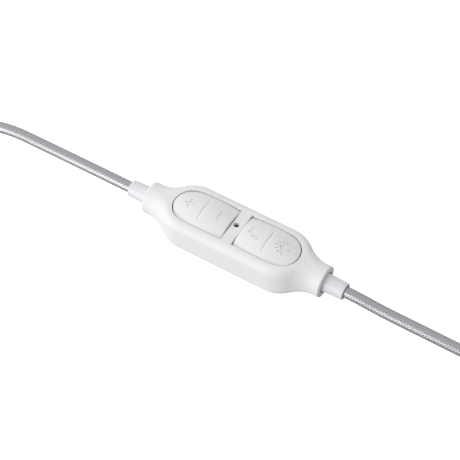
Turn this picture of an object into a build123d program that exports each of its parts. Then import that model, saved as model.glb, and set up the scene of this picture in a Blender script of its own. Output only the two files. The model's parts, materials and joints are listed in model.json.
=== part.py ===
from build123d import *

import math
import os

# In-line remote of a braided headset lead: a slim control pod with two rocker buttons and a microphone,
# a cord to the headset that ends in a 3.5 mm four-pole plug, and a cord to the source that ends in a USB
# plug.  Millimetres, +Z up.  The origin is under the middle of the pod, on the surface that it lies on.
# +X runs along the pod towards the source, and the volume rocker is on the -X side.

# ---- pod housing ----
BODY_HALF_WIDTH = 8.9
BODY_HALF_HEIGHT = 5.6
BODY_EDGE_RADIUS = 2.3
SHOULDER_START = 14.5  # from here the body narrows along two equal tangent arcs
SHOULDER_END = 27.5
NECK_RADIUS = 4.85
NECK_FLAT = 0.05  # half of the flat that is left between two corner arcs at the neck
NECK_END = 29.4
NECK_EDGE = 0.5
WALL = 1.2
AXIS_Z = BODY_HALF_HEIGHT
BODY_TOP = 2 * BODY_HALF_HEIGHT
PRISM_HALF = 12.5  # the middle is a plain prism up to here
SHOULDER_STEPS = 13
CAVITY_END = 24.85
CAVITY_TOP = BODY_TOP - WALL

# ---- rocker buttons ----
PAD_HALF_WIDTH = 5.85
PAD_HALF_LENGTH = 20.2  # from the middle of the pod to the round end of a pad
PAD_INNER = 1.98
PAD_BOTTOM = 9.4
PAD_TOP = 12.65
PAD_EDGE = 0.2
CROWN_X = 9.4  # where the crown of a pad is highest
CROWN_ALONG = 35.0  # radius of the crown along the pod
CROWN_ACROSS = 11.5  # radius of the crown across the pod
CROWN_SWEEP = 90.0  # how far the crown's arc is turned, in degrees
WINDOW_GAP_SIDE = 0.14
WINDOW_GAP_END = 0.3
WINDOW_RIM = 0.2  # rounding of the window's edges
BRIDGE_HALF = 1.72
BRIDGE_BOTTOM = 9.9
GROOVE_DEPTH = 0.35
GROOVE_RADIUS = 0.7
GROOVE_HALF_LENGTH = 4.7
PIVOT_X = 10.65
PIVOT_Z = 8.4
PIN_RADIUS = 0.6
PIN_HALF_LENGTH = 7.2
LUG_BORE = 0.65
LUG_RADIUS = 1.3
LUG_INNER = 2.6
LUG_OUTER = 4.6
FOOT_RADIUS = 1.0
FOOT_GAP = 0.05

# ---- icons pressed into the pads; an icon's own up is towards -X ----
ICON_DEPTH = 0.25
STROKE = 0.5
PLUS_X = -15.5
MINUS_X = -5.7
MUTE_X = 6.0
LAMP_X = 15.3
SIGN_LENGTH = 3.1
RAY_COUNT = 7
RAY_STEP = 33.8
RAY_INNER = 1.5
RAY_OUTER = 2.25
LAMP_RADIUS = 0.95

# ---- inside the pod ----
BOARD_BOTTOM = 4.2
BOARD_TOP = 5.0
BOARD_HALF_LENGTH = 19.4
BOARD_HALF_WIDTH = 6.2
SWITCH_OUTER_X = 15.5
SWITCH_INNER_X = 5.8
SWITCH_SIDE = 3.6
SWITCH_HEIGHT = 1.2
PLUNGER_RADIUS = 0.8
PLUNGER_TOP = 7.0
CARRIER_BOTTOM = 8.7
CARRIER_SHELF = 9.3
MIC_X = -0.35
MIC_Y = 0.6
MIC_HOLE = 0.85
BOOT_RADIUS = 1.25
MESH_BOTTOM = 9.75

# ---- lower cover and its screws ----
COVER_HALF_LENGTH = 23.5
COVER_HALF_WIDTH = 7.35
COVER_TOP = 1.6
COVER_GAP = 0.05
OPENING_TOP = 2.2
POST_X = 21.85
POST_RADIUS = 1.3
SCREW_RADIUS = 0.6
SCREW_HEAD_RADIUS = 1.15
SCREW_HEAD_BOTTOM = 0.55
SCREW_HEAD_TOP = 1.05
SCREW_TIP = 5.0

# ---- sleeves in the necks ----
SLEEVE_SEAT = 28.0
SLEEVE_END = 35.7
SLEEVE_ROOT_RADIUS = 2.85
SLEEVE_TIP_RADIUS = 2.6
SPIGOT_RADIUS = 2.6
NECK_COUNTERBORE = 3.25
SLEEVE_BORE = 1.0
CORD_START = 34.2
SLEEVE_MOUTH_RADIUS = 1.98
WIRE_RADIUS = 0.28

# ---- cords; their points are in a cord's own frame: u away from the pod, v to the side, z up ----
CORD_RADIUS = 1.75
HANK_RUN = 52.5
FOLD_OUTER = 12.75
WAIST_INNER = 1.75
TIE_THICKNESS = 0.8
TIE_HALF_LENGTH = 6.0
TIE_CORNER = 1.2
PLUG_V = 4.5
HEADSET_NEAR_FOLD = 108.5
SOURCE_NEAR_FOLD = 102.5
HEADSET_LAYERS = 1
SOURCE_LAYERS = 4
HEADSET_PLUG_Z = 8.0
SOURCE_PLUG_Z = 19.7
HEADSET_ROUTE = [
    (34.2, 0.0, 5.6),
    (60.0, 0.0, 5.65),
    (87.0, 0.0, 5.3),
    (102.5, 12.6, 2.0),
]
SOURCE_ROUTE = [
    (34.2, 0.0, 5.6),
    (39.6, 0.0, 5.6),
    (46.6, 0.0, 4.8),
    (60.0, 0.0, 4.65),
    (81.0, 0.0, 4.3),
    (96.5, 12.6, 2.0),
]
# The tail of a cord lies on its hank: u from the near fold's centre, v, and height over the hank.
TAIL_ROUTE = [
    (-11.5, -4.76, 1.8),
    (-11.5, 4.76, 2.0),
    (-4.76, 11.5, 2.3),
    (6.5, 11.3, 2.9),
    (16.0, PLUG_V, None),
    (25.0, PLUG_V, None),
]
RELIEF_RIM = 23.5  # from the near fold's centre to the plug's strain relief
RELIEF_LENGTH = 11.0

# ---- 3.5 mm plug ----
JACK_RADIUS = 1.75
JACK_PIN = 14.0
JACK_HANDLE_LENGTH = 17.0
JACK_HANDLE_RADIUS = 3.5
JACK_CONTACT_ENDS = [5.2, 5.8, 7.8, 8.4, 10.2, 10.8]
JACK_TIP_SHOULDER = 11.3

# ---- USB plug ----
USB_BODY_LENGTH = 20.0
USB_BODY_WIDTH = 15.6
USB_BODY_HEIGHT = 7.8
USB_SHELL_WIDTH = 12.0
USB_SHELL_HEIGHT = 4.5
USB_SHELL_LENGTH = 11.9
USB_SHELL_WALL = 0.3
USB_TONGUE_HEIGHT = 1.9


def box(low, high):
    """A box from its lowest to its highest corner."""
    size = [b - a for a, b in zip(low, high)]
    middle = [(a + b) / 2 for a, b in zip(low, high)]
    return Pos(*middle) * Box(*size)


def post(x, y, low, high, radius):
    """An upright cylinder."""
    return Pos(x, y, (low + high) / 2) * Cylinder(radius, high - low)


def rod_y(x, z, low, high, radius):
    """A cylinder along Y."""
    return Pos(x, (low + high) / 2, z) * Rot(90, 0, 0) * Cylinder(radius, high - low)


def slot(half_length, half_width, low, high):
    """An upright prism with a stadium outline."""
    return Pos(0, 0, low) * extrude(SlotOverall(2 * half_length, 2 * half_width), high - low)


def turned(points, y, z):
    """A solid of revolution about an axis along X, from its (x, radius) corners."""
    outline = make_face(Polyline(*points, close=True))
    return Pos(0, y, z) * revolve(outline, Axis.X)


def both_ends(piece):
    """The piece and its mirror image at the other end of the pod."""
    return piece + mirror(piece, Plane.YZ)


def to_headset(piece):
    """A piece of the cord's own frame, placed on the headset side."""
    return Rot(0, 0, 180) * piece


# ---------------------------------------------------------------- housing
def shoulder_fraction(x):
    """1 over the body and 0 at the neck."""
    drop = BODY_HALF_WIDTH - NECK_RADIUS
    length = SHOULDER_END - SHOULDER_START
    radius = (length**2 + drop**2) / (4 * drop)
    gone = min(max(abs(x) - SHOULDER_START, 0), length)
    if gone < length / 2:
        return 1 - (radius - math.sqrt(radius**2 - gone**2)) / drop
    return (radius - math.sqrt(radius**2 - (length - gone) ** 2)) / drop


def pod_section(x, inset):
    """The pod's cross-section at x, with its wall moved inwards."""
    fraction = shoulder_fraction(x)
    half_width = NECK_RADIUS + fraction * (BODY_HALF_WIDTH - NECK_RADIUS)
    half_height = NECK_RADIUS + fraction * (BODY_HALF_HEIGHT - NECK_RADIUS)
    neck_corner = NECK_RADIUS - NECK_FLAT
    corner = neck_corner + fraction * (BODY_EDGE_RADIUS - neck_corner)
    plane = Plane(origin=(x, 0, AXIS_Z), x_dir=(0, 1, 0), z_dir=(1, 0, 0))
    return plane * RectangleRounded(2 * (half_width - inset), 2 * (half_height - inset), corner - inset)


def pod_shape(end, inset, edge=0.0):
    """The pod's outer shape, or with an inset the hollow in it."""
    middle = extrude(pod_section(-PRISM_HALF, inset), 2 * PRISM_HALF, dir=(1, 0, 0))
    shoulder_top = min(SHOULDER_END, end)
    stations = [PRISM_HALF, (PRISM_HALF + SHOULDER_START) / 2]
    for step in range(SHOULDER_STEPS + 1):
        stations.append(SHOULDER_START + (shoulder_top - SHOULDER_START) * step / SHOULDER_STEPS)
    if end > shoulder_top:
        stations += [(shoulder_top + end) / 2, end]
    shoulder = loft([pod_section(x, inset) for x in stations])
    if edge:
        rim = shoulder.faces().sort_by(Axis.X)[-1].edges()
        shoulder = fillet(rim, edge)
    return both_ends(middle + shoulder)


def crown(lower=0.0):
    """A body whose top is the crowned top of the function pad: an arc across, turned along a longer arc."""
    half = PAD_HALF_WIDTH + 1.5
    root = CROWN_ALONG - CROWN_ACROSS
    edge = root + math.sqrt(CROWN_ACROSS**2 - half**2)
    arc = ThreePointArc((-half, edge), (0, CROWN_ALONG), (half, edge))
    sides = Polyline((half, edge), (half, root), (-half, root), (-half, edge))
    ring = revolve(Rot(-CROWN_SWEEP / 2, 0, 0) * make_face(arc + sides), Axis.X, CROWN_SWEEP)
    centre = (CROWN_X, 0, PAD_TOP - CROWN_ALONG - lower)
    return Plane(origin=centre, x_dir=(0, 1, 0), z_dir=(1, 0, 0)) * ring


def window_edges(shell):
    """The upper edges of the window's two openings."""
    half_width = PAD_HALF_WIDTH + WINDOW_GAP_SIDE
    half_length = PAD_HALF_LENGTH + WINDOW_GAP_END
    found = []
    for edge in shell.edges():
        x, y, z = edge.position_at(0.5)
        past = max(abs(x) - (half_length - half_width), 0)
        on_window = abs(math.hypot(past, y) - half_width) < 0.01 and abs(x) > BRIDGE_HALF - 0.01
        on_bridge = abs(abs(x) - BRIDGE_HALF) < 0.01 and abs(y) < half_width
        level = abs(edge.position_at(0).Z - edge.position_at(1).Z) < 0.5
        if z > CAVITY_TOP + 0.5 and level and (on_window or on_bridge):
            found.append(edge)
    return found


def upper_housing():
    shell = pod_shape(NECK_END, 0.0, NECK_EDGE) - pod_shape(CAVITY_END, WALL)
    window = slot(
        PAD_HALF_LENGTH + WINDOW_GAP_END, PAD_HALF_WIDTH + WINDOW_GAP_SIDE, PAD_BOTTOM - 1, PAD_TOP
    )
    bridge = box((-BRIDGE_HALF, -7, BRIDGE_BOTTOM), (BRIDGE_HALF, 7, BODY_TOP))
    shell = shell - (window - bridge)
    shell += bridge
    shell = fillet(window_edges(shell), WINDOW_RIM)
    shell -= post(MIC_X, MIC_Y, BRIDGE_BOTTOM - 1, BODY_TOP + 1, MIC_HOLE)
    opening = slot(COVER_HALF_LENGTH + COVER_GAP, COVER_HALF_WIDTH + COVER_GAP, -1, OPENING_TOP)
    shell -= opening
    shell += both_ends(post(POST_X, 0, COVER_TOP, CAVITY_TOP, POST_RADIUS))
    shell -= both_ends(post(POST_X, 0, 0, SCREW_TIP + 0.4, SCREW_RADIUS))
    neck_bore = turned(
        [
            (CAVITY_END - 1, 0),
            (CAVITY_END - 1, SPIGOT_RADIUS),
            (SLEEVE_SEAT, SPIGOT_RADIUS),
            (SLEEVE_SEAT, NECK_COUNTERBORE),
            (NECK_END + 1, NECK_COUNTERBORE),
            (NECK_END + 1, 0),
        ],
        0,
        AXIS_Z,
    )
    return shell - both_ends(neck_bore)


def lower_cover():
    """The plate that closes the underside, with four pillars that carry the board."""
    plate = pod_shape(NECK_END, 0.0) & slot(COVER_HALF_LENGTH, COVER_HALF_WIDTH, -1, COVER_TOP)
    for x in (-16.5, 16.5):
        for y in (-4.6, 4.6):
            plate += post(x, y, COVER_TOP - 0.3, BOARD_BOTTOM, 0.9)
    plate -= both_ends(post(POST_X, 0, -1, SCREW_HEAD_TOP, SCREW_HEAD_RADIUS + 0.1))
    return plate - both_ends(post(POST_X, 0, 0, COVER_TOP + 1, SCREW_RADIUS + 0.1))


def cover_screws():
    """Two countersunk cross-head screws."""
    screw = post(POST_X, 0, SCREW_HEAD_BOTTOM, SCREW_HEAD_TOP, SCREW_HEAD_RADIUS)
    screw += post(POST_X, 0, SCREW_HEAD_TOP - 0.1, SCREW_TIP, SCREW_RADIUS)
    for turn in (0, 90):
        arm = Pos(POST_X, 0, SCREW_HEAD_BOTTOM) * Rot(0, 0, turn) * Box(1.5, 0.3, 0.5)
        screw -= arm
    return both_ends(screw)


# ---------------------------------------------------------------- rockers
def stroke(length, width=STROKE):
    """A bar along Y with round ends."""
    return Rot(0, 0, 90) * SlotOverall(length, width)


def icon_tool(sketch, side, x):
    """What an icon takes out of a pad: the sketch, down to a constant depth under the crown."""
    prism = Pos(x, 0, PAD_BOTTOM + 0.5) * extrude(sketch, PAD_TOP - PAD_BOTTOM)
    floor = crown(ICON_DEPTH)
    if side < 0:
        floor = mirror(floor, Plane.YZ)
    return prism - floor


def plus_sign():
    bar = stroke(SIGN_LENGTH)
    return bar + Rot(0, 0, 90) * bar


def minus_sign():
    return stroke(SIGN_LENGTH)


def mute_sign():
    """A microphone in its stand with a bar across it."""
    capsule = Pos(-0.75, 0) * SlotOverall(2.5, 1.25)
    cradle = Pos(-0.4, 0) * (Circle(1.4) - Circle(1.05))
    cradle &= Pos(0.75, 0) * Rectangle(2.3, 4)
    stem = Pos(1.4, 0) * Rectangle(1.2, 0.4)
    base = Pos(1.95, 0) * stroke(1.9, 0.4)
    whole = capsule + cradle + stem + base
    bar = Rot(0, 0, -45) * SlotOverall(5.0, 0.42)
    gap = Rot(0, 0, -45) * Pos(0, 0.42) * Rectangle(5.4, 0.42)
    return whole - gap + bar


def lamp_sign():
    """A lamp with rays on the side away from its base."""
    whole = Circle(LAMP_RADIUS) + Pos(1.0, 0) * Rectangle(1.0, 1.0)
    whole += Pos(1.75, 0) * stroke(1.1, 0.32)
    for number in range(RAY_COUNT):
        angle = 180 + (number - (RAY_COUNT - 1) / 2) * RAY_STEP
        middle = (RAY_INNER + RAY_OUTER) / 2
        whole += Rot(0, 0, angle) * Pos(middle, 0) * SlotOverall(RAY_OUTER - RAY_INNER + 0.3, 0.3)
    return whole


def rocker(side):
    """A crowned pad with two hinge lugs and two feet under it; side is -1 for volume, 1 for function."""
    pad = slot(PAD_HALF_LENGTH, PAD_HALF_WIDTH, PAD_BOTTOM, PAD_TOP + 1)
    pad &= box((PAD_INNER, -8, 0), (PAD_HALF_LENGTH + 1, 8, PAD_TOP + 2))
    pad &= crown()
    if PAD_EDGE:
        top_face = pad.faces().filter_by(GeomType.TORUS).sort_by(Axis.Z)[-1]
        pad = fillet(top_face.edges(), PAD_EDGE)
    fade = GROOVE_HALF_LENGTH**2 / 2
    groove_bend = fade / (fade / CROWN_ACROSS - GROOVE_DEPTH)
    groove_z = PAD_TOP - GROOVE_DEPTH + GROOVE_RADIUS - groove_bend
    pad -= Pos(PIVOT_X, 0, groove_z) * Rot(0, 90, 0) * Torus(groove_bend, GROOVE_RADIUS)
    for low, high in ((LUG_INNER, LUG_OUTER), (-LUG_OUTER, -LUG_INNER)):
        pad += box((PIVOT_X - LUG_RADIUS, low, PIVOT_Z), (PIVOT_X + LUG_RADIUS, high, PAD_BOTTOM + 0.2))
        pad += rod_y(PIVOT_X, PIVOT_Z, low, high, LUG_RADIUS)
    pad -= rod_y(PIVOT_X, PIVOT_Z, -LUG_OUTER - 1, LUG_OUTER + 1, LUG_BORE)
    for x in (SWITCH_INNER_X, SWITCH_OUTER_X):
        pad += post(x, 0, PLUNGER_TOP + FOOT_GAP, PAD_BOTTOM + 0.2, FOOT_RADIUS)
    if side < 0:
        pad = mirror(pad, Plane.YZ)
        pad -= icon_tool(plus_sign(), side, PLUS_X)
        return pad - icon_tool(minus_sign(), side, MINUS_X)
    pad -= icon_tool(mute_sign(), side, MUTE_X)
    return pad - icon_tool(lamp_sign(), side, LAMP_X)


def rocker_pins():
    return both_ends(rod_y(PIVOT_X, PIVOT_Z, -PIN_HALF_LENGTH, PIN_HALF_LENGTH, PIN_RADIUS))


def button_carrier():
    """An H-shaped frame under the roof: two rails, a cross bar, ears for the pins and legs on the board."""
    rail_end = 18.6
    rib_end = 13.5
    shelf = box((-rail_end, -7.5, CARRIER_BOTTOM), (rail_end, 7.5, CARRIER_SHELF))
    shelf &= pod_shape(CAVITY_END, WALL + 0.04)
    frame = shelf + box((-rib_end, -6.55, CARRIER_SHELF), (rib_end, 6.55, CAVITY_TOP))
    frame -= slot(PAD_HALF_LENGTH + 0.4, PAD_HALF_WIDTH + 0.3, CARRIER_BOTTOM - 1, CAVITY_TOP + 1)
    bar_top = BRIDGE_BOTTOM - 0.2
    frame += box((-1.5, -6.3, CARRIER_BOTTOM), (1.5, 6.3, bar_top))
    frame -= box((-BRIDGE_HALF - 0.1, -7, bar_top), (BRIDGE_HALF + 0.1, 7, BODY_TOP))
    for y in (-1, 1):
        ear_low, ear_high = sorted((5.0 * y, 7.5 * y))
        leg_low, leg_high = sorted((4.9 * y, 6.1 * y))
        for x in (-PIVOT_X, PIVOT_X):
            frame += box((x - 1.5, ear_low, 7.4), (x + 1.5, ear_high, 9.2))
        for x in (-18.0, 18.0):
            frame += box((x - 0.6, leg_low, BOARD_TOP), (x + 0.6, leg_high, CARRIER_BOTTOM + 0.2))
    frame -= both_ends(rod_y(PIVOT_X, PIVOT_Z, -8, 8, PIN_RADIUS))
    return frame - post(MIC_X, MIC_Y, 0, BODY_TOP, BOOT_RADIUS)


# ---------------------------------------------------------------- electronics
def main_board():
    outline = RectangleRounded(2 * BOARD_HALF_LENGTH, 2 * BOARD_HALF_WIDTH, 1.5)
    return Pos(0, 0, BOARD_BOTTOM) * extrude(outline, BOARD_TOP - BOARD_BOTTOM)


def tact_switches():
    half = SWITCH_SIDE / 2
    switches = []
    for x in (-SWITCH_OUTER_X, -SWITCH_INNER_X, SWITCH_INNER_X, SWITCH_OUTER_X):
        body = box((x - half, -half, BOARD_TOP), (x + half, half, BOARD_TOP + SWITCH_HEIGHT))
        switches.append(chamfer(body.edges().filter_by(Axis.Z), 0.4))
    return switches


def plungers(side):
    low = BOARD_TOP + SWITCH_HEIGHT
    places = (side * SWITCH_INNER_X, side * SWITCH_OUTER_X)
    return [post(x, 0, low, PLUNGER_TOP, PLUNGER_RADIUS) for x in places]


def microphone():
    body = box((MIC_X - 1.5, MIC_Y - 1.1, BOARD_TOP), (MIC_X + 1.5, MIC_Y + 1.1, BOARD_TOP + 1.0))
    return body - post(MIC_X, MIC_Y, BOARD_TOP + 0.5, BOARD_TOP + 2, 0.3)


def mic_boot():
    """A rubber tube that leads the sound from the hole in the bridge down to the microphone."""
    return post(MIC_X, MIC_Y, BOARD_TOP + 1.0, MESH_BOTTOM, BOOT_RADIUS) - post(
        MIC_X, MIC_Y, BOARD_TOP, BODY_TOP, 0.6
    )


def mic_mesh():
    return post(MIC_X, MIC_Y, MESH_BOTTOM, BRIDGE_BOTTOM, 1.2)


def codec_chip():
    return box((7.0, -2.5, BOARD_BOTTOM - 0.9), (12.0, 2.5, BOARD_BOTTOM))


def crystal():
    return box((1.5, 1.4, BOARD_BOTTOM - 0.7), (4.7, 3.9, BOARD_BOTTOM))


def smd_parts():
    """Rows of small resistors and capacitors on both faces of the board."""
    parts = []
    for x in (-13.5, -11.5, -9.5, -7.5, -5.5, -3.5):
        for y in (-3.2, 0.2):
            parts.append(box((x - 0.5, y - 0.3, BOARD_BOTTOM - 0.5), (x + 0.5, y + 0.3, BOARD_BOTTOM)))
    for x in (9.3, 11.3, -9.3, -11.3):
        for y in (-3.0, 0.0, 3.0):
            parts.append(box((x - 0.4, y - 0.6, BOARD_TOP), (x + 0.4, y + 0.6, BOARD_TOP + 0.5)))
    return parts


def wire(across, up):
    """One insulated wire from the cord's end, round the screw post and down to the board."""
    lane = 2.0 + 0.75 * (up > 0)
    points = [
        (CORD_START, 0.35 * across, AXIS_Z + 0.35 * up),
        (23.95, 0.35 * across, AXIS_Z + 0.35 * up),
        (23.0, lane * across, AXIS_Z),
        (20.4, (lane + 0.05) * across, AXIS_Z - 0.1),
        (18.4, lane * across, BOARD_TOP + WIRE_RADIUS),
    ]
    path = FilletPolyline(*points, radius=0.6)
    plane = Plane(origin=points[0], z_dir=(-1, 0, 0))
    return sweep(plane * Circle(WIRE_RADIUS), path=path)


def wires():
    return [wire(across, up) for across in (-1, 1) for up in (-1, 1)]


def sleeve():
    """The tapered plastic sleeve that holds the cord in a neck."""
    body = turned(
        [
            (CAVITY_END, SLEEVE_BORE),
            (CAVITY_END, SPIGOT_RADIUS),
            (SLEEVE_SEAT, SPIGOT_RADIUS),
            (SLEEVE_SEAT, SLEEVE_ROOT_RADIUS),
            (SLEEVE_END, SLEEVE_TIP_RADIUS),
            (SLEEVE_END, SLEEVE_MOUTH_RADIUS),
            (CORD_START, SLEEVE_MOUTH_RADIUS),
            (CORD_START, SLEEVE_BORE),
        ],
        0,
        AXIS_Z,
    )
    rim = body.edges().filter_by(GeomType.CIRCLE).sort_by(Axis.X)[-2:]
    return fillet(rim.sort_by(SortBy.RADIUS)[-1], 0.35)


def crimp():
    """The metal ferrule on the wires, inside the pod."""
    start = CAVITY_END - 0.55
    return turned([(start, 0.85), (start, 1.8), (CAVITY_END, 1.8), (CAVITY_END, 0.85)], 0, AXIS_Z)


# ---------------------------------------------------------------- cords, hanks and ties
def bend_radii(points):
    """The arc at each inner point of a route: as large as its two runs allow."""
    radii = []
    for before, here, after in zip(points, points[1:], points[2:]):
        first = Vector(*here) - Vector(*before)
        second = Vector(*after) - Vector(*here)
        turn = math.radians(first.get_angle(second))
        shorter = min(first.length, second.length)
        radii.append(0.45 * shorter / math.tan(turn / 2))
    return radii


def cord_tube(name, points):
    radii = bend_radii(points)
    path = FilletPolyline(*points, radius=radii)
    heading = Vector(*points[1]) - Vector(*points[0])
    plane = Plane(origin=points[0], z_dir=heading)
    tube = sweep(plane * Circle(CORD_RADIUS), path=path)
    expected = math.pi * CORD_RADIUS**2 * path.length
    print(name, "bend radii", [round(r, 1) for r in radii], "length", round(path.length, 1))
    print(name, "volume over section times length", round(tube.volume / expected, 4))
    return tube


def hank_outline(fold_radius, waist):
    """Two end loops joined by a waist: every arc is tangent to the next."""
    half_run = HANK_RUN / 2
    side = (half_run**2 + waist**2 - fold_radius**2) / (2 * (fold_radius - waist))
    reach = waist + side
    outline = make_face(Polyline((-half_run, 0), (0, reach), (half_run, 0), (0, -reach), close=True))
    outline -= Pos(0, reach) * Circle(side)
    outline -= Pos(0, -reach) * Circle(side)
    for x in (-half_run, half_run):
        outline += Pos(x, 0) * Circle(fold_radius)
    return outline


def hank_top(layers):
    return 2 * CORD_RADIUS * layers + TIE_THICKNESS


def tie_block(near_fold, layers, outside):
    """The block inside a tie, or with its thickness the block that the tie itself fills."""
    half_width = WAIST_INNER + 3 * CORD_RADIUS + 0.3 + outside
    middle = near_fold + HANK_RUN / 2
    low = TIE_THICKNESS - outside
    high = hank_top(layers) + outside
    block = box(
        (middle - TIE_HALF_LENGTH, -half_width, low), (middle + TIE_HALF_LENGTH, half_width, high)
    )
    return fillet(block.edges().filter_by(Axis.X), TIE_CORNER + outside)


def tie(near_fold, layers):
    """A hook-and-loop strap round the waist of a hank."""
    outer = tie_block(near_fold, layers, TIE_THICKNESS)
    middle = near_fold + HANK_RUN / 2
    inner = tie_block(near_fold, layers, 0.0)
    longer = inner + Pos(1, 0, 0) * inner + Pos(-1, 0, 0) * inner
    return (outer - longer) & box((middle - 50, -50, -1), (middle + 50, 50, 60))


def hank(near_fold, layers):
    """The outer shape of the folded cord, cut back where its tie passes."""
    outline = hank_outline(FOLD_OUTER + CORD_RADIUS, WAIST_INNER + 3 * CORD_RADIUS)
    body = Pos(near_fold + HANK_RUN / 2, 0, 0) * extrude(outline, hank_top(layers))
    around = tie_block(near_fold, layers, 5.0) - tie_block(near_fold, layers, 0.0)
    return body - around


def tail(name, near_fold, layers, plug_z):
    """The last stretch of a cord, which lies on its hank and runs into the plug's strain relief."""
    points = []
    for u, v, over in TAIL_ROUTE:
        z = plug_z if over is None else hank_top(layers) + over
        points.append((near_fold + u, v, z))
    return cord_tube(name, points)


def plug_relief(near_fold, plug_z, root_radius):
    """A ribbed, tapered strain relief on the end of a cord."""
    start = near_fold + RELIEF_RIM
    end = start + RELIEF_LENGTH
    body = turned(
        [
            (start, CORD_RADIUS + 0.02),
            (start, CORD_RADIUS + 0.55),
            (end, root_radius),
            (end, 0),
            (start + 1.5, 0),
            (start + 1.5, CORD_RADIUS + 0.02),
        ],
        PLUG_V,
        plug_z,
    )
    for step in range(4):
        x = start + 2.2 + 2.2 * step
        ring = turned([(x, 2.0), (x, 5.0), (x + 0.9, 5.0), (x + 0.9, 2.0)], PLUG_V, plug_z)
        body -= ring
    return body


# ---------------------------------------------------------------- 3.5 mm plug
def jack_face():
    """Where the pin leaves the handle."""
    return HEADSET_NEAR_FOLD + RELIEF_RIM + RELIEF_LENGTH + JACK_HANDLE_LENGTH


def jack_handle():
    start = jack_face() - JACK_HANDLE_LENGTH
    body = turned(
        [(start, 0), (start, JACK_HANDLE_RADIUS), (jack_face(), JACK_HANDLE_RADIUS), (jack_face(), 0)],
        PLUG_V,
        HEADSET_PLUG_Z,
    )
    rims = body.edges().filter_by(GeomType.CIRCLE)
    body = fillet(rims, 0.8)
    for step in range(5):
        x = start + 4.0 + 1.6 * step
        body -= turned([(x, 3.2), (x, 5.0), (x + 0.7, 5.0), (x + 0.7, 3.2)], PLUG_V, HEADSET_PLUG_Z)
    return body


def jack_band(start, end):
    """One contact or insulator of the pin; both are flush."""
    low = jack_face() + start
    high = jack_face() + end
    return turned([(low, 0), (low, JACK_RADIUS), (high, JACK_RADIUS), (high, 0)], PLUG_V, HEADSET_PLUG_Z)


def jack_barrel():
    return jack_band(0.0, JACK_CONTACT_ENDS[0])


def jack_insulators():
    return [jack_band(JACK_CONTACT_ENDS[i], JACK_CONTACT_ENDS[i + 1]) for i in (0, 2, 4)]


def jack_rings():
    return [jack_band(JACK_CONTACT_ENDS[i], JACK_CONTACT_ENDS[i + 1]) for i in (1, 3)]


def jack_tip():
    base = jack_face()
    return turned(
        [
            (base + JACK_CONTACT_ENDS[-1], 0),
            (base + JACK_CONTACT_ENDS[-1], JACK_RADIUS),
            (base + JACK_TIP_SHOULDER, JACK_RADIUS),
            (base + 12.0, 1.15),
            (base + 12.3, 1.15),
            (base + 12.7, 1.5),
            (base + 13.1, 1.4),
            (base + 13.6, 1.0),
            (base + JACK_PIN, 0.4),
            (base + JACK_PIN, 0),
        ],
        PLUG_V,
        HEADSET_PLUG_Z,
    )


# ---------------------------------------------------------------- USB plug
def usb_face():
    """Where the metal shell leaves the plug's moulding."""
    return SOURCE_NEAR_FOLD + RELIEF_RIM + RELIEF_LENGTH + USB_BODY_LENGTH


def usb_block(low, high, half_width, half_height, middle_z=0.0):
    z = SOURCE_PLUG_Z + middle_z
    return box(
        (usb_face() + low, PLUG_V - half_width, z - half_height),
        (usb_face() + high, PLUG_V + half_width, z + half_height),
    )


def usb_overmould():
    body = usb_block(-USB_BODY_LENGTH, 0, USB_BODY_WIDTH / 2, USB_BODY_HEIGHT / 2)
    body = fillet(body.edges().filter_by(Axis.X), 1.8)
    back = body.faces().sort_by(Axis.X)[0]
    body = fillet(back.edges(), 1.4)
    body -= usb_block(-5, 1, USB_SHELL_WIDTH / 2, USB_SHELL_HEIGHT / 2)
    for side in (-1, 1):
        for step in range(3):
            x = -15.0 + 2.6 * step
            edge = side * USB_BODY_WIDTH / 2
            groove = box((x, edge - 0.45, -2.2), (x + 1.1, edge + 0.45, 2.2))
            body -= Pos(usb_face(), PLUG_V, SOURCE_PLUG_Z) * groove
    return body


def usb_shell():
    """The folded metal shell with its two latch windows on top."""
    shell = usb_block(-5, USB_SHELL_LENGTH, USB_SHELL_WIDTH / 2, USB_SHELL_HEIGHT / 2)
    inner_half_width = USB_SHELL_WIDTH / 2 - USB_SHELL_WALL
    inner_half_height = USB_SHELL_HEIGHT / 2 - USB_SHELL_WALL
    shell -= usb_block(-4.5, USB_SHELL_LENGTH + 1, inner_half_width, inner_half_height)
    for side in (-1, 1):
        window = box((5.2, 2.5 * side - 1.1, 0), (7.4, 2.5 * side + 1.1, USB_SHELL_HEIGHT))
        shell -= Pos(usb_face(), PLUG_V, SOURCE_PLUG_Z) * window
    return shell


def usb_tongue():
    """The plastic block that fills the lower half of the shell and carries the contacts."""
    half_width = USB_SHELL_WIDTH / 2 - USB_SHELL_WALL
    floor = -USB_SHELL_HEIGHT / 2 + USB_SHELL_WALL
    return usb_block(
        -4.5, USB_SHELL_LENGTH - 0.5, half_width, USB_TONGUE_HEIGHT / 2, floor + USB_TONGUE_HEIGHT / 2
    )


def usb_contacts():
    """Four gold contact strips; the outer two are longer."""
    top = SOURCE_PLUG_Z - USB_SHELL_HEIGHT / 2 + USB_SHELL_WALL + USB_TONGUE_HEIGHT
    strips = []
    for offset, length in ((-3.5, 9.6), (-1.0, 8.6), (1.0, 8.6), (3.5, 9.6)):
        y = PLUG_V + offset
        strips.append(
            box((usb_face() + 1, y - 0.5, top), (usb_face() + 1 + length, y + 0.5, top + 0.15))
        )
    return strips


def solids_of(shape):
    """Every separate solid of a shape or a list of shapes."""
    shapes = shape if isinstance(shape, list) else [shape]
    found = []
    for one in shapes:
        found += one.solids()
    return found


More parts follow.
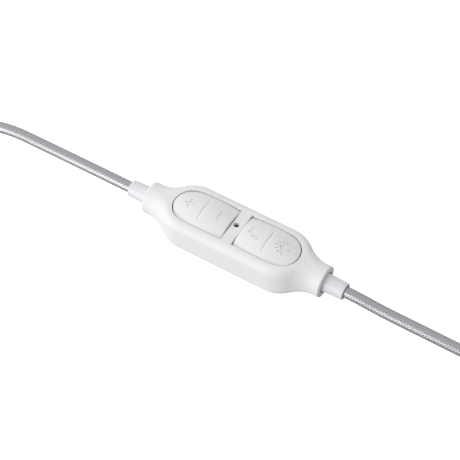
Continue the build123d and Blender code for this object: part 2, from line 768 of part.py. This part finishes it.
def main():
    os.makedirs("parts", exist_ok=True)
    headset_cord = cord_tube("headset_cord", HEADSET_ROUTE) - hank(HEADSET_NEAR_FOLD, HEADSET_LAYERS)
    source_cord = cord_tube("source_cord", SOURCE_ROUTE) - hank(SOURCE_NEAR_FOLD, SOURCE_LAYERS)
    headset_tail = tail("headset_tail", HEADSET_NEAR_FOLD, HEADSET_LAYERS, HEADSET_PLUG_Z)
    source_tail = tail("source_tail", SOURCE_NEAR_FOLD, SOURCE_LAYERS, SOURCE_PLUG_Z)
    headset_side = {
        "headset_sleeve": sleeve(),
        "headset_crimp": crimp(),
        "headset_wires": wires(),
        "headset_cord": headset_cord,
        "headset_hank": hank(HEADSET_NEAR_FOLD, HEADSET_LAYERS),
        "headset_tie": tie(HEADSET_NEAR_FOLD, HEADSET_LAYERS),
        "headset_tail": headset_tail,
        "jack_relief": plug_relief(HEADSET_NEAR_FOLD, HEADSET_PLUG_Z, 2.7),
        "jack_handle": jack_handle(),
        "jack_barrel": jack_barrel(),
        "jack_insulators": jack_insulators(),
        "jack_rings": jack_rings(),
        "jack_tip": jack_tip(),
    }
    nodes = {
        "upper_housing": upper_housing(),
        "lower_cover": lower_cover(),
        "cover_screws": cover_screws(),
        "volume_rocker": rocker(-1),
        "function_rocker": rocker(1),
        "rocker_pins": rocker_pins(),
        "button_carrier": button_carrier(),
        "main_board": main_board(),
        "tact_switches": tact_switches(),
        "volume_plungers": plungers(-1),
        "function_plungers": plungers(1),
        "microphone": microphone(),
        "mic_boot": mic_boot(),
        "mic_mesh": mic_mesh(),
        "codec_chip": codec_chip(),
        "crystal": crystal(),
        "smd_parts": smd_parts(),
        "source_sleeve": sleeve(),
        "source_crimp": crimp(),
        "source_wires": wires(),
        "source_cord": source_cord,
        "source_hank": hank(SOURCE_NEAR_FOLD, SOURCE_LAYERS),
        "source_tie": tie(SOURCE_NEAR_FOLD, SOURCE_LAYERS),
        "source_tail": source_tail,
        "usb_relief": plug_relief(SOURCE_NEAR_FOLD, SOURCE_PLUG_Z, 3.1),
        "usb_overmould": usb_overmould(),
        "usb_shell": usb_shell(),
        "usb_tongue": usb_tongue(),
        "usb_contacts": usb_contacts(),
    }
    for name, shape in headset_side.items():
        nodes[name] = [to_headset(solid) for solid in solids_of(shape)]
    for name, shape in nodes.items():
        export_step(Compound(children=solids_of(shape)), f"parts/{name}.step")


if __name__ == "__main__":
    main()
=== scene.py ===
import json
import math

import bpy
from mathutils import Matrix, Vector


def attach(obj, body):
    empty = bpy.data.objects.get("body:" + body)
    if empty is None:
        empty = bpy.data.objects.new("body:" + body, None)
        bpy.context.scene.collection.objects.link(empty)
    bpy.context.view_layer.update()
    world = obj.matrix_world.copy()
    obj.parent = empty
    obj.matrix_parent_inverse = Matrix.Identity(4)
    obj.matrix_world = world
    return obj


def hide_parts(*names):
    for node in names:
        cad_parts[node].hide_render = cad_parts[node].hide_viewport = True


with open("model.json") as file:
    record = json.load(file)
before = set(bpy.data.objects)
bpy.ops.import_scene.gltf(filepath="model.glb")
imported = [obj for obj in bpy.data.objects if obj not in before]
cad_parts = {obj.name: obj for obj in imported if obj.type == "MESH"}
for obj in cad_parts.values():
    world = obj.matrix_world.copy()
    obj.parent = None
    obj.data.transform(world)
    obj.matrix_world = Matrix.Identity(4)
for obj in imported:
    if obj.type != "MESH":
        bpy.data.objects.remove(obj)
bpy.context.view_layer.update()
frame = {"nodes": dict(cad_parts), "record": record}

nodes = frame["nodes"]

# ---------------------------------------------------------------- driving values, in metres
CORD_DIAMETER = 0.0035
CORD_RADIUS = CORD_DIAMETER / 2
CORD_START = 0.0342
CORD_Z = 0.0056  # the height of the pod's axis, where both cords leave it
HANK_RUN = 0.0525
FOLD_OUTER = 0.01275
WAIST_INNER = 0.00175
TIE_THICKNESS = 0.0008
TIE_REACH = 0.0060
PLUG_V = 0.0045
TURN_POINTS = 36
LANE_START = 0.8  # the share of a turn after which the cord moves to the next lane
LANE_SPAN = 0.2
CLIMB_START = 0.5  # the share of a turn after which it climbs to the next layer
CLIMB_SPAN = 0.3
LAST_TURN = 0.71  # how much of the last turn is wound before the cord leaves for its plug
LAST_RISE = 0.0008  # how far over the hank the last turn climbs
LINE_STEPS = 24  # line points to each control point
SHORTEST_SPAN = 1e-12
BRAID_STRANDS = 12  # strands that wind each way round the cord
BRAID_PITCH = 0.00094  # along the cord, from one strand to the next
BRAID_RELIEF = 0.00011
BRAID_CROWN = 0.55  # the share of a strand's round top in the braid's height
BRAID_WAVE = 0.45  # the share of its passing over and under
BRAID_GAP = 0.4  # the drop between two strands
BRAID_FADE = 0.004  # the length over which the braid's relief ends and the rings lose sides
FINE_REACH = 0.052  # the length of cord, from its sleeve, that has the braid in its mesh
FINE_STEP = 0.00013
FINE_SIDES = 64
COARSE_STEP = 0.0012
STEP_GROWTH = 1.3
COARSE_SIDES = 16
FLOOR_SIDE = 6.0
ROOM_LEVEL = 0.70  # the room's mean brightness
ROOM_SLOPE = (-0.40, -0.02, 0.22)  # how it grows towards each axis

# The camera: its axes, its distance, its aim from the pod's middle (to the right, upwards) and its lens.
CAMERA_BACK = (0.3127, -0.5143, 0.7986)
CAMERA_RIGHT = (0.8545, 0.5195, 0.0)
CAMERA_DISTANCE = 0.4686
CAMERA_AIM = (-0.00181, 0.00249)
CAMERA_LENS = 128.35  # in millimetres, like its sensor
CAMERA_SENSOR = 36

# Each cord: the sign of its side, its route in its own frame (u outwards, v to the side, z up), its near
# fold, the lanes and layers of its turns (1 is the outer lane), the plug's height and its declared length.
HEADSET = {
    "name": "headset_lead",
    "turned": -1,
    "route": [
        (CORD_START, 0.0, CORD_Z),
        (0.0600, 0.0, 0.00565),
        (0.0870, 0.0, 0.0053),
        (0.1005, 0.0118, 0.0022),
    ],
    "near_fold": 0.1085,
    "turns": [(1, 0), (0, 0)],
    "layers": 1,
    "plug_z": 0.0080,
    "length": 0.44,
    "solids": ["headset_cord", "headset_hank", "headset_tail"],
    "pieces": [
        "headset_tie",
        "jack_relief",
        "jack_handle",
        "jack_barrel",
        "jack_insulators",
        "jack_rings",
        "jack_tip",
    ],
}
SOURCE = {
    "name": "source_lead",
    "turned": 1,
    "route": [
        (CORD_START, 0.0, CORD_Z),
        (0.0396, 0.0, CORD_Z),
        (0.0466, 0.0, 0.0048),
        (0.0600, 0.0, 0.00465),
        (0.0810, 0.0, 0.0043),
        (0.0945, 0.0118, 0.0022),
    ],
    "near_fold": 0.1025,
    "turns": [(1, 0), (0, 0), (0, 1), (1, 1), (1, 2), (0, 2), (0, 3), (1, 3)],
    "layers": 4,
    "plug_z": 0.0197,
    "length": 1.53,
    "solids": ["source_cord", "source_hank", "source_tail"],
    "pieces": ["source_tie", "usb_relief", "usb_overmould", "usb_shell", "usb_tongue", "usb_contacts"],
}
# The end of a cord, over its hank: u from the near fold's centre, v, and the height over the hank, which
# is None where the cord is at its plug's height.
TAIL_ROUTE = [
    (-0.0030, -0.0116, 0.0011),
    (-0.0115, -0.00476, 0.0014),
    (-0.0115, 0.00476, 0.0016),
    (-0.00476, 0.0115, 0.0020),
    (0.0065, 0.0113, 0.0029),
    (0.0160, PLUG_V, None),
    (0.0250, PLUG_V, None),
]


# ---------------------------------------------------------------- camera
def add_camera():
    """The photograph's viewing direction: above the near side, with the pod running away to the left."""
    back = Vector(CAMERA_BACK).normalized()
    right = Vector(CAMERA_RIGHT).normalized()
    up = back.cross(right)
    pod_middle = Vector((0, 0, CORD_Z))
    aim_right, aim_up = CAMERA_AIM
    target = pod_middle + aim_right * right + aim_up * up
    data = bpy.data.cameras.new("camera")
    data.lens = CAMERA_LENS
    data.sensor_width = CAMERA_SENSOR
    data.clip_start = 0.01
    data.clip_end = 20
    camera = bpy.data.objects.new("camera", data)
    bpy.context.scene.collection.objects.link(camera)
    turn = Matrix((right, up, back)).transposed().to_4x4()
    camera.matrix_world = Matrix.Translation(target + CAMERA_DISTANCE * back) @ turn
    bpy.context.scene.camera = camera


# ---------------------------------------------------------------- cords
def lane_point(cord, fold, waist, fraction):
    """The u and v of a point on one lane of a hank, for a fraction of a turn.

    A lane is two end loops of the fold's radius and two waist arcs, each tangent to the next."""
    half = HANK_RUN / 2
    side = (half**2 + waist**2 - fold**2) / (2 * (fold - waist))
    reach = waist + side
    lean = math.atan2(reach, half)
    quarter = math.pi / 2
    spans = [
        (-half, 0, fold, quarter, lean - quarter),
        (0, reach, side, -(math.pi - lean), math.pi - 2 * lean),
        (half, 0, fold, math.pi - lean, 2 * lean - 2 * math.pi),
        (0, -reach, side, lean, math.pi - 2 * lean),
        (-half, 0, fold, -lean, lean - 1.5 * math.pi),
    ]
    lengths = [radius * abs(sweep) for _, _, radius, _, sweep in spans]
    along = fraction * sum(lengths)
    for (cu, cv, radius, start, sweep), length in zip(spans, lengths):
        if along <= length:
            break
        along -= length
    angle = start + sweep * min(along / length, 1)
    u = cord["near_fold"] + half + cu + radius * math.cos(angle)
    return u, cv + radius * math.sin(angle)


def smooth(t):
    """0 up to 0, 1 from 1 on, and an even curve between."""
    t = min(max(t, 0.0), 1.0)
    return t * t * (3 - 2 * t)


def hank_points(cord):
    """Control points of the folded turns: each climbs to the next layer or moves to the next lane."""
    points = []
    turns = cord["turns"]
    middle = cord["near_fold"] + HANK_RUN / 2
    hank_top = CORD_DIAMETER * cord["layers"] + TIE_THICKNESS
    for number, (lane, layer) in enumerate(turns):
        last = number == len(turns) - 1
        next_lane, next_layer = (lane, layer) if last else turns[number + 1]
        for step in range(TURN_POINTS):
            fraction = step / TURN_POINTS
            if last and fraction > LAST_TURN:
                break
            mix = lane + (next_lane - lane) * smooth((fraction - LANE_START) / LANE_SPAN)
            fold = FOLD_OUTER - (1 - mix) * CORD_DIAMETER
            waist = WAIST_INNER + mix * CORD_DIAMETER
            u, v = lane_point(cord, fold, waist, fraction)
            climb = smooth((fraction - CLIMB_START) / CLIMB_SPAN)
            z = CORD_RADIUS + CORD_DIAMETER * (layer + (next_layer - layer) * climb)
            if last:
                z += (hank_top + LAST_RISE - z) * climb
            z += TIE_THICKNESS * smooth(2 - abs(u - middle) / TIE_REACH)
            points.append((u, v, z))
    return points


def cord_points(cord):
    """Every control point of a cord, in its own frame."""
    near = cord["near_fold"]
    hank_top = CORD_DIAMETER * cord["layers"] + TIE_THICKNESS
    points = list(cord["route"]) + hank_points(cord)
    for u, v, over in TAIL_ROUTE:
        z = cord["plug_z"] if over is None else hank_top + over
        points.append((near + u, v, z))
    return [(cord["turned"] * u, cord["turned"] * v, z) for u, v, z in points]


def spline_line(points):
    """The points of the smooth line that a cord's control points make."""
    curve = bpy.data.curves.new("line", "CURVE")
    curve.dimensions = "3D"
    curve.resolution_u = LINE_STEPS
    spline = curve.splines.new("NURBS")
    spline.points.add(len(points) - 1)
    for point, place in zip(spline.points, points):
        point.co = (*place, 1)
    spline.order_u = 3
    spline.use_endpoint_u = True
    holder = bpy.data.objects.new("line", curve)
    mesh = bpy.data.meshes.new_from_object(holder)
    line = [v.co.copy() for v in mesh.vertices]
    bpy.data.objects.remove(holder)
    bpy.data.curves.remove(curve)
    bpy.data.meshes.remove(mesh)
    return line


def at_distances(line, wanted):
    """The points, with their distances, at the distances along a line that wanted(length) lists."""
    reached = [0.0]
    for a, b in zip(line, line[1:]):
        reached.append(reached[-1] + (b - a).length)
    placed = []
    index = 0
    for distance in wanted(reached[-1]):
        while index < len(line) - 2 and reached[index + 1] < distance:
            index += 1
        span = max(reached[index + 1] - reached[index], SHORTEST_SPAN)
        placed.append((line[index].lerp(line[index + 1], (distance - reached[index]) / span), distance))
    return placed


def ring_distances(total):
    """Close rings where the braid is in the mesh, then wider ones."""
    distances = []
    distance = 0.0
    while distance < FINE_REACH:
        distances.append(distance)
        distance += FINE_STEP
    step = FINE_STEP
    while distance < total:
        distances.append(distance)
        step = min(step * STEP_GROWTH, COARSE_STEP)
        distance += step
    if total - distances[-1] < step / 2:
        distances.pop()
    return distances + [total]


def braid_height(turn, distance):
    """The height of the braid's surface, from 0 to 1: two sets of strands that pass over and under."""
    along = distance / BRAID_PITCH
    a = BRAID_STRANDS * turn + along
    b = BRAID_STRANDS * turn - along
    heights = []
    for own, other, sign in ((a, b, 1), (b, a, -1)):
        index = math.floor(own + 0.5)
        across = own - index
        crown = math.sqrt(max(1 - (2 * across) ** 2, 0))
        wave = sign * math.cos(math.pi * (index + other))
        gap = BRAID_GAP if crown == 0 else 0
        heights.append(BRAID_CROWN * crown + BRAID_WAVE * (0.5 + 0.5 * wave) - gap)
    return max(heights)


def ring_sides(distance):
    """How many sides a ring has: all of them along the braid, then half, and half again."""
    sides = FINE_SIDES
    while sides > COARSE_SIDES and distance > FINE_REACH + BRAID_FADE * math.log2(FINE_SIDES / sides * 2):
        sides //= 2
    return sides


def tube_rings(rings):
    """The vertices of every ring, and for each ring its first vertex and its number of sides."""
    places = [place for place, _ in rings]
    verts = []
    starts = []
    side = None
    for i, (place, distance) in enumerate(rings):
        ahead = places[min(i + 1, len(places) - 1)]
        behind = places[max(i - 1, 0)]
        tangent = (ahead - behind).normalized()
        if side is None:
            side = tangent.cross(Vector((0, 0, 1))).normalized()
        side = (side - tangent * side.dot(tangent)).normalized()
        over = tangent.cross(side)
        sides = ring_sides(distance)
        starts.append((len(verts), sides))
        fade = smooth((FINE_REACH - distance) / BRAID_FADE)
        for k in range(sides):
            turn = k / sides
            relief = BRAID_RELIEF * fade * (braid_height(turn, distance) - 1) if fade else 0
            radius = CORD_RADIUS + relief
            angle = 2 * math.pi * turn
            verts.append(place + radius * (math.cos(angle) * side + math.sin(angle) * over))
    return verts, starts


def band_faces(start, next_start, v0, v1):
    """The faces between two rings, with their UVs: quads, or triangles where the sides are halved."""
    first, sides = start
    second, next_sides = next_start
    faces = []
    uvs = []
    for k in range(next_sides):
        t0 = k / next_sides
        t1 = (k + 1) / next_sides
        far_a = second + k
        far_b = second + (k + 1) % next_sides
        if sides == next_sides:
            faces.append((first + k, first + (k + 1) % sides, far_b, far_a))
            uvs.append(((t0, v0), (t1, v0), (t1, v1), (t0, v1)))
            continue
        near = [first + (2 * k + j) % sides for j in range(3)]
        mid = (t0 + t1) / 2
        faces.append((near[0], near[1], far_a))
        uvs.append(((t0, v0), (mid, v0), (t0, v1)))
        faces.append((near[1], far_b, far_a))
        uvs.append(((mid, v0), (t1, v1), (t0, v1)))
        faces.append((near[1], near[2], far_b))
        uvs.append(((mid, v0), (t1, v0), (t1, v1)))
    return faces, uvs


def build_tube(name, line):
    """A mesh tube round a line, with the braid in its surface near the line's start.

    Its UVs are the share of a turn round the cord and the distance along it."""
    rings = at_distances(line, ring_distances)
    verts, starts = tube_rings(rings)
    faces = []
    uvs = []
    for i in range(len(rings) - 1):
        band, band_uvs = band_faces(starts[i], starts[i + 1], rings[i][1], rings[i + 1][1])
        faces += band
        uvs += band_uvs
    for (first, sides), flip in ((starts[0], True), (starts[-1], False)):
        cap = [first + k for k in range(sides)]
        faces.append(tuple(cap[::-1] if flip else cap))
        uvs.append(tuple((0.5, 0.0) for _ in cap))
    mesh = bpy.data.meshes.new(name)
    mesh.from_pydata(verts, [], faces)
    layer = mesh.uv_layers.new(name="along")
    flat = [value for face in uvs for pair in face for value in pair]
    layer.data.foreach_set("uv", flat)
    for polygon in mesh.polygons:
        polygon.use_smooth = len(polygon.vertices) <= 4
    mesh.update()
    piece = bpy.data.objects.new(name, mesh)
    bpy.context.scene.collection.objects.link(piece)
    return piece, [place for place, _ in rings]


def add_cord(cord):
    """One tube for the whole cord, which replaces its three plain solids."""
    piece, places = build_tube(cord["name"], spline_line(cord_points(cord)))
    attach(piece, "pod")
    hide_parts(*cord["solids"])
    return piece


# ---------------------------------------------------------------- materials
TONE_SPREAD = 0.012  # how far the tone of a moulded part strays from its colour
GLOSS_SPREAD = 0.04
THREADS_PER_STRAND = 6.0


class Shader:
    """A short way to write a node material."""

    def __init__(self, name):
        self.material = bpy.data.materials.new(name)
        self.material.use_nodes = True
        self.tree = self.material.node_tree
        self.tree.nodes.clear()
        self.out = self.node("ShaderNodeOutputMaterial")
        self.surface = self.node("ShaderNodeBsdfPrincipled")
        self.link(self.surface.outputs[0], self.out.inputs["Surface"])

    def node(self, kind, **settings):
        made = self.tree.nodes.new(kind)
        for key, value in settings.items():
            setattr(made, key, value)
        return made

    def link(self, source, target):
        if isinstance(source, (int, float)):
            target.default_value = source
        else:
            self.tree.links.new(source, target)

    def set(self, **values):
        for key, value in values.items():
            self.surface.inputs[key.replace("_", " ")].default_value = value

    def math(self, operation, a, b=0.0, c=0.0):
        made = self.node("ShaderNodeMath", operation=operation)
        for socket, value in zip(made.inputs, (a, b, c)):
            self.link(value, socket)
        return made.outputs[0]

    def position(self):
        return self.node("ShaderNodeTexCoord").outputs["Object"]

    def noise(self, scale, detail=3.0, roughness=0.5, vector=None):
        made = self.node("ShaderNodeTexNoise")
        made.inputs["Scale"].default_value = scale
        made.inputs["Detail"].default_value = detail
        made.inputs["Roughness"].default_value = roughness
        self.link(vector or self.position(), made.inputs["Vector"])
        return made.outputs["Fac"]

    def ramp(self, factor, low, high):
        """A value from low to high as the factor goes from 0 to 1."""
        made = self.node("ShaderNodeMapRange")
        made.inputs["To Min"].default_value = low
        made.inputs["To Max"].default_value = high
        self.link(factor, made.inputs["Value"])
        return made.outputs[0]

    def blend(self, factor, low, high):
        made = self.node("ShaderNodeMix", data_type="RGBA")
        self.link(factor, made.inputs[0])
        made.inputs[6].default_value = (*low, 1)
        made.inputs[7].default_value = (*high, 1)
        return made.outputs[2]

    def bump(self, height, strength, distance):
        made = self.node("ShaderNodeBump")
        made.inputs["Strength"].default_value = strength
        made.inputs["Distance"].default_value = distance
        self.link(height, made.inputs["Height"])
        self.link(made.outputs[0], self.surface.inputs["Normal"])


def moulded(name, colour, roughness, grain=0.12):
    """Moulded plastic: a fine spark-eroded grain, slightly uneven gloss and tone."""
    s = Shader(name)
    tone = s.noise(scale=180.0, detail=2.0)
    low = [c * (1 - TONE_SPREAD) for c in colour]
    high = [min(c * (1 + TONE_SPREAD), 1) for c in colour]
    s.link(s.blend(tone, low, high), s.surface.inputs["Base Color"])
    fine = s.noise(scale=9000.0, detail=2.0, roughness=0.6)
    gloss = s.ramp(s.noise(scale=600.0), roughness - GLOSS_SPREAD, roughness + GLOSS_SPREAD)
    s.link(gloss, s.surface.inputs["Roughness"])
    s.bump(fine, strength=grain, distance=0.00002)
    return s.material


def metal(name, colour, roughness, brushed=(1, 1, 1)):
    """Metal with fine streaks, which run along the axis that brushed makes small."""
    s = Shader(name)
    mapping = s.node("ShaderNodeMapping")
    mapping.inputs["Scale"].default_value = brushed
    s.link(s.position(), mapping.inputs["Vector"])
    streak = s.noise(scale=2500.0, roughness=0.6, vector=mapping.outputs[0])
    s.link(s.ramp(streak, roughness * 0.7, roughness * 1.3), s.surface.inputs["Roughness"])
    low = [c * 0.94 for c in colour]
    s.link(s.blend(streak, low, colour), s.surface.inputs["Base Color"])
    s.bump(streak, strength=0.05, distance=0.00001)
    s.set(Metallic=1.0)
    return s.material


def braid_material():
    """Two sets of silver-white yarns that cross over and under, from the cord's own coordinates."""
    s = Shader("braid")
    uv = s.node("ShaderNodeUVMap", uv_map="along")
    parts = s.node("ShaderNodeSeparateXYZ")
    s.link(uv.outputs[0], parts.inputs[0])
    around = s.math("MULTIPLY", parts.outputs[0], BRAID_STRANDS)
    along = s.math("DIVIDE", parts.outputs[1], BRAID_PITCH)
    a = s.math("ADD", around, along)
    b = s.math("SUBTRACT", around, along)
    heights = []
    for own, other, sign in ((a, b, 1), (b, a, -1)):
        index = s.math("FLOOR", s.math("ADD", own, 0.5))
        across = s.math("SUBTRACT", own, index)
        square = s.math("MULTIPLY", s.math("MULTIPLY", across, across), 4.0)
        crown = s.math("SQRT", s.math("MAXIMUM", s.math("SUBTRACT", 1.0, square), 0.0))
        phase = s.math("MULTIPLY", s.math("ADD", index, other), math.pi)
        wave = s.math("MULTIPLY_ADD", s.math("COSINE", phase), 0.5 * sign, 0.5)
        heights.append(s.math("MULTIPLY_ADD", crown, BRAID_CROWN, s.math("MULTIPLY", wave, BRAID_WAVE)))
    height = s.math("MAXIMUM", heights[0], heights[1])
    threads = s.node("ShaderNodeCombineXYZ")
    s.link(s.math("MULTIPLY", a, THREADS_PER_STRAND), threads.inputs[0])
    s.link(s.math("MULTIPLY", b, THREADS_PER_STRAND), threads.inputs[1])
    fuzz = s.noise(scale=1.0, detail=2.0, roughness=0.6, vector=threads.outputs[0])
    clamped = s.ramp(height, 0.0, 1.0)
    # Painted shade: the base colour darkens from the strand tops to near black where the braid's surface
    # is low, in the dips between and under the strands.
    shade = s.math("MULTIPLY", s.math("POWER", clamped, 1.6), s.ramp(fuzz, 0.86, 1.1))
    painted_gap_shade = (0.13, 0.13, 0.14)
    strand_tops = (0.46, 0.465, 0.48)
    s.link(s.blend(shade, painted_gap_shade, strand_tops), s.surface.inputs["Base Color"])
    s.link(s.ramp(fuzz, 0.22, 0.36), s.surface.inputs["Roughness"])
    surface = s.math("ADD", height, s.math("MULTIPLY", fuzz, 0.15))
    s.bump(surface, strength=0.35, distance=BRAID_RELIEF)
    s.set(Metallic=0.75)
    return s.material


def strap_material():
    """Woven hook-and-loop strap with a loose pile."""
    s = Shader("strap")
    loops = s.noise(scale=3500.0, detail=4.0, roughness=0.7)
    s.link(s.blend(loops, (0.42, 0.43, 0.45), (0.74, 0.75, 0.77)), s.surface.inputs["Base Color"])
    s.bump(loops, strength=0.8, distance=0.0003)
    s.set(Roughness=0.9, Sheen_Weight=0.4)
    return s.material


def board_material():
    """Green lacquer, uneven over the copper below it."""
    s = Shader("board")
    tracks = s.noise(scale=700.0, detail=1.0)
    s.link(s.blend(tracks, (0.01, 0.10, 0.045), (0.03, 0.22, 0.10)), s.surface.inputs["Base Color"])
    s.set(Roughness=0.3, Coat_Weight=0.4)
    return s.material


def mesh_cloth_material():
    """Nearly black acoustic cloth."""
    s = Shader("mesh_cloth")
    weave = s.node("ShaderNodeTexVoronoi")
    weave.inputs["Scale"].default_value = 9000.0
    s.link(s.position(), weave.inputs["Vector"])
    colour = s.blend(weave.outputs["Distance"], (0.002, 0.002, 0.002), (0.02, 0.02, 0.02))
    s.link(colour, s.surface.inputs["Base Color"])
    s.set(Roughness=0.95)
    return s.material


def dress(materials):
    """Give every CAD node the material of its slot."""
    slots = {part["node"]: part["material_slot"] for part in frame["record"]["subparts"]}
    for name, piece in nodes.items():
        piece.data.materials.clear()
        piece.data.materials.append(materials[slots[name]])


def all_materials():
    """One material for each slot of the record."""
    return {
        "housing_white": moulded("housing_white", (0.80, 0.80, 0.80), 0.55),
        "button_white": moulded("button_white", (0.80, 0.80, 0.80), 0.5),
        "sleeve_white": moulded("sleeve_white", (0.72, 0.725, 0.76), 0.25, grain=0.03),
        "plug_white": moulded("plug_white", (0.79, 0.79, 0.80), 0.42),
        "tongue_white": moulded("tongue_white", (0.78, 0.78, 0.76), 0.3),
        "carrier_grey": moulded("carrier_grey", (0.5, 0.51, 0.53), 0.5),
        "black_plastic": moulded("black_plastic", (0.03, 0.03, 0.03), 0.4),
        "black_rubber": moulded("black_rubber", (0.03, 0.03, 0.03), 0.7),
        "ceramic": moulded("ceramic", (0.5, 0.42, 0.32), 0.35),
        "wire_red": moulded("wire_red", (0.55, 0.07, 0.05), 0.3),
        "steel": metal("steel", (0.62, 0.62, 0.63), 0.3),
        "shell_steel": metal("shell_steel", (0.66, 0.67, 0.68), 0.25, (0.05, 1, 1)),
        "gold": metal("gold", (0.83, 0.62, 0.28), 0.2, (0.05, 1, 1)),
        "braid": braid_material(),
        "strap": strap_material(),
        "board": board_material(),
        "mesh_cloth": mesh_cloth_material(),
    }


# ---------------------------------------------------------------- floor and light
def add_floor():
    """A plain white sheet, bright enough that nothing casts a shadow on it; it lights nothing itself."""
    mesh = bpy.data.meshes.new("floor")
    half = FLOOR_SIDE / 2
    corners = [(-half, -half, 0), (half, -half, 0), (half, half, 0), (-half, half, 0)]
    mesh.from_pydata(corners, [], [(0, 1, 2, 3)])
    floor = bpy.data.objects.new("floor", mesh)
    bpy.context.scene.collection.objects.link(floor)
    floor.visible_diffuse = False
    floor.visible_glossy = False
    s = Shader("floor")
    s.set(Base_Color=(0.9, 0.9, 0.9, 1), Roughness=0.9, Emission_Color=(1, 1, 1, 1), Emission_Strength=1.0)
    mesh.materials.append(s.material)


def from_angles(azimuth, elevation):
    """The direction of a point seen from the pod; azimuth is measured from -Y towards +X."""
    turn, lift = math.radians(azimuth), math.radians(elevation)
    return Vector((math.sin(turn) * math.cos(lift), -math.cos(turn) * math.cos(lift), math.sin(lift)))


def add_light(name, azimuth, elevation, distance, width, height, radiance):
    """A rectangular area light that faces the pod."""
    data = bpy.data.lights.new(name, "AREA")
    data.shape = "RECTANGLE"
    data.size = width
    data.size_y = height
    data.energy = radiance * math.pi * width * height
    light = bpy.data.objects.new(name, data)
    bpy.context.scene.collection.objects.link(light)
    away = from_angles(azimuth, elevation)
    light.location = distance * away
    light.rotation_euler = away.to_track_quat("Z", "Y").to_euler()


def add_world():
    """A white room, brightest towards -X and overhead, darkest towards +X."""
    world = bpy.data.worlds.new("studio")
    world.use_nodes = True
    tree = world.node_tree
    background = tree.nodes["Background"]
    background.inputs["Color"].default_value = (1, 1, 1, 1)
    direction = tree.nodes.new("ShaderNodeTexCoord")
    along = tree.nodes.new("ShaderNodeVectorMath")
    along.operation = "DOT_PRODUCT"
    along.inputs[1].default_value = ROOM_SLOPE
    strength = tree.nodes.new("ShaderNodeMath")
    strength.operation = "ADD"
    strength.inputs[1].default_value = ROOM_LEVEL
    tree.links.new(direction.outputs["Generated"], along.inputs[0])
    tree.links.new(along.outputs["Value"], strength.inputs[0])
    tree.links.new(strength.outputs[0], background.inputs["Strength"])
    bpy.context.scene.world = world


def light_scene():
    """The room, and a key light low on the near side."""
    bpy.context.scene.view_settings.view_transform = "Standard"
    add_world()
    add_light("key", azimuth=-20, elevation=12, distance=0.6, width=0.32, height=0.5, radiance=3.4)


add_camera()
materials = all_materials()
dress(materials)
for cord in (HEADSET, SOURCE):
    add_cord(cord).data.materials.append(materials["braid"])
add_floor()
light_scene()
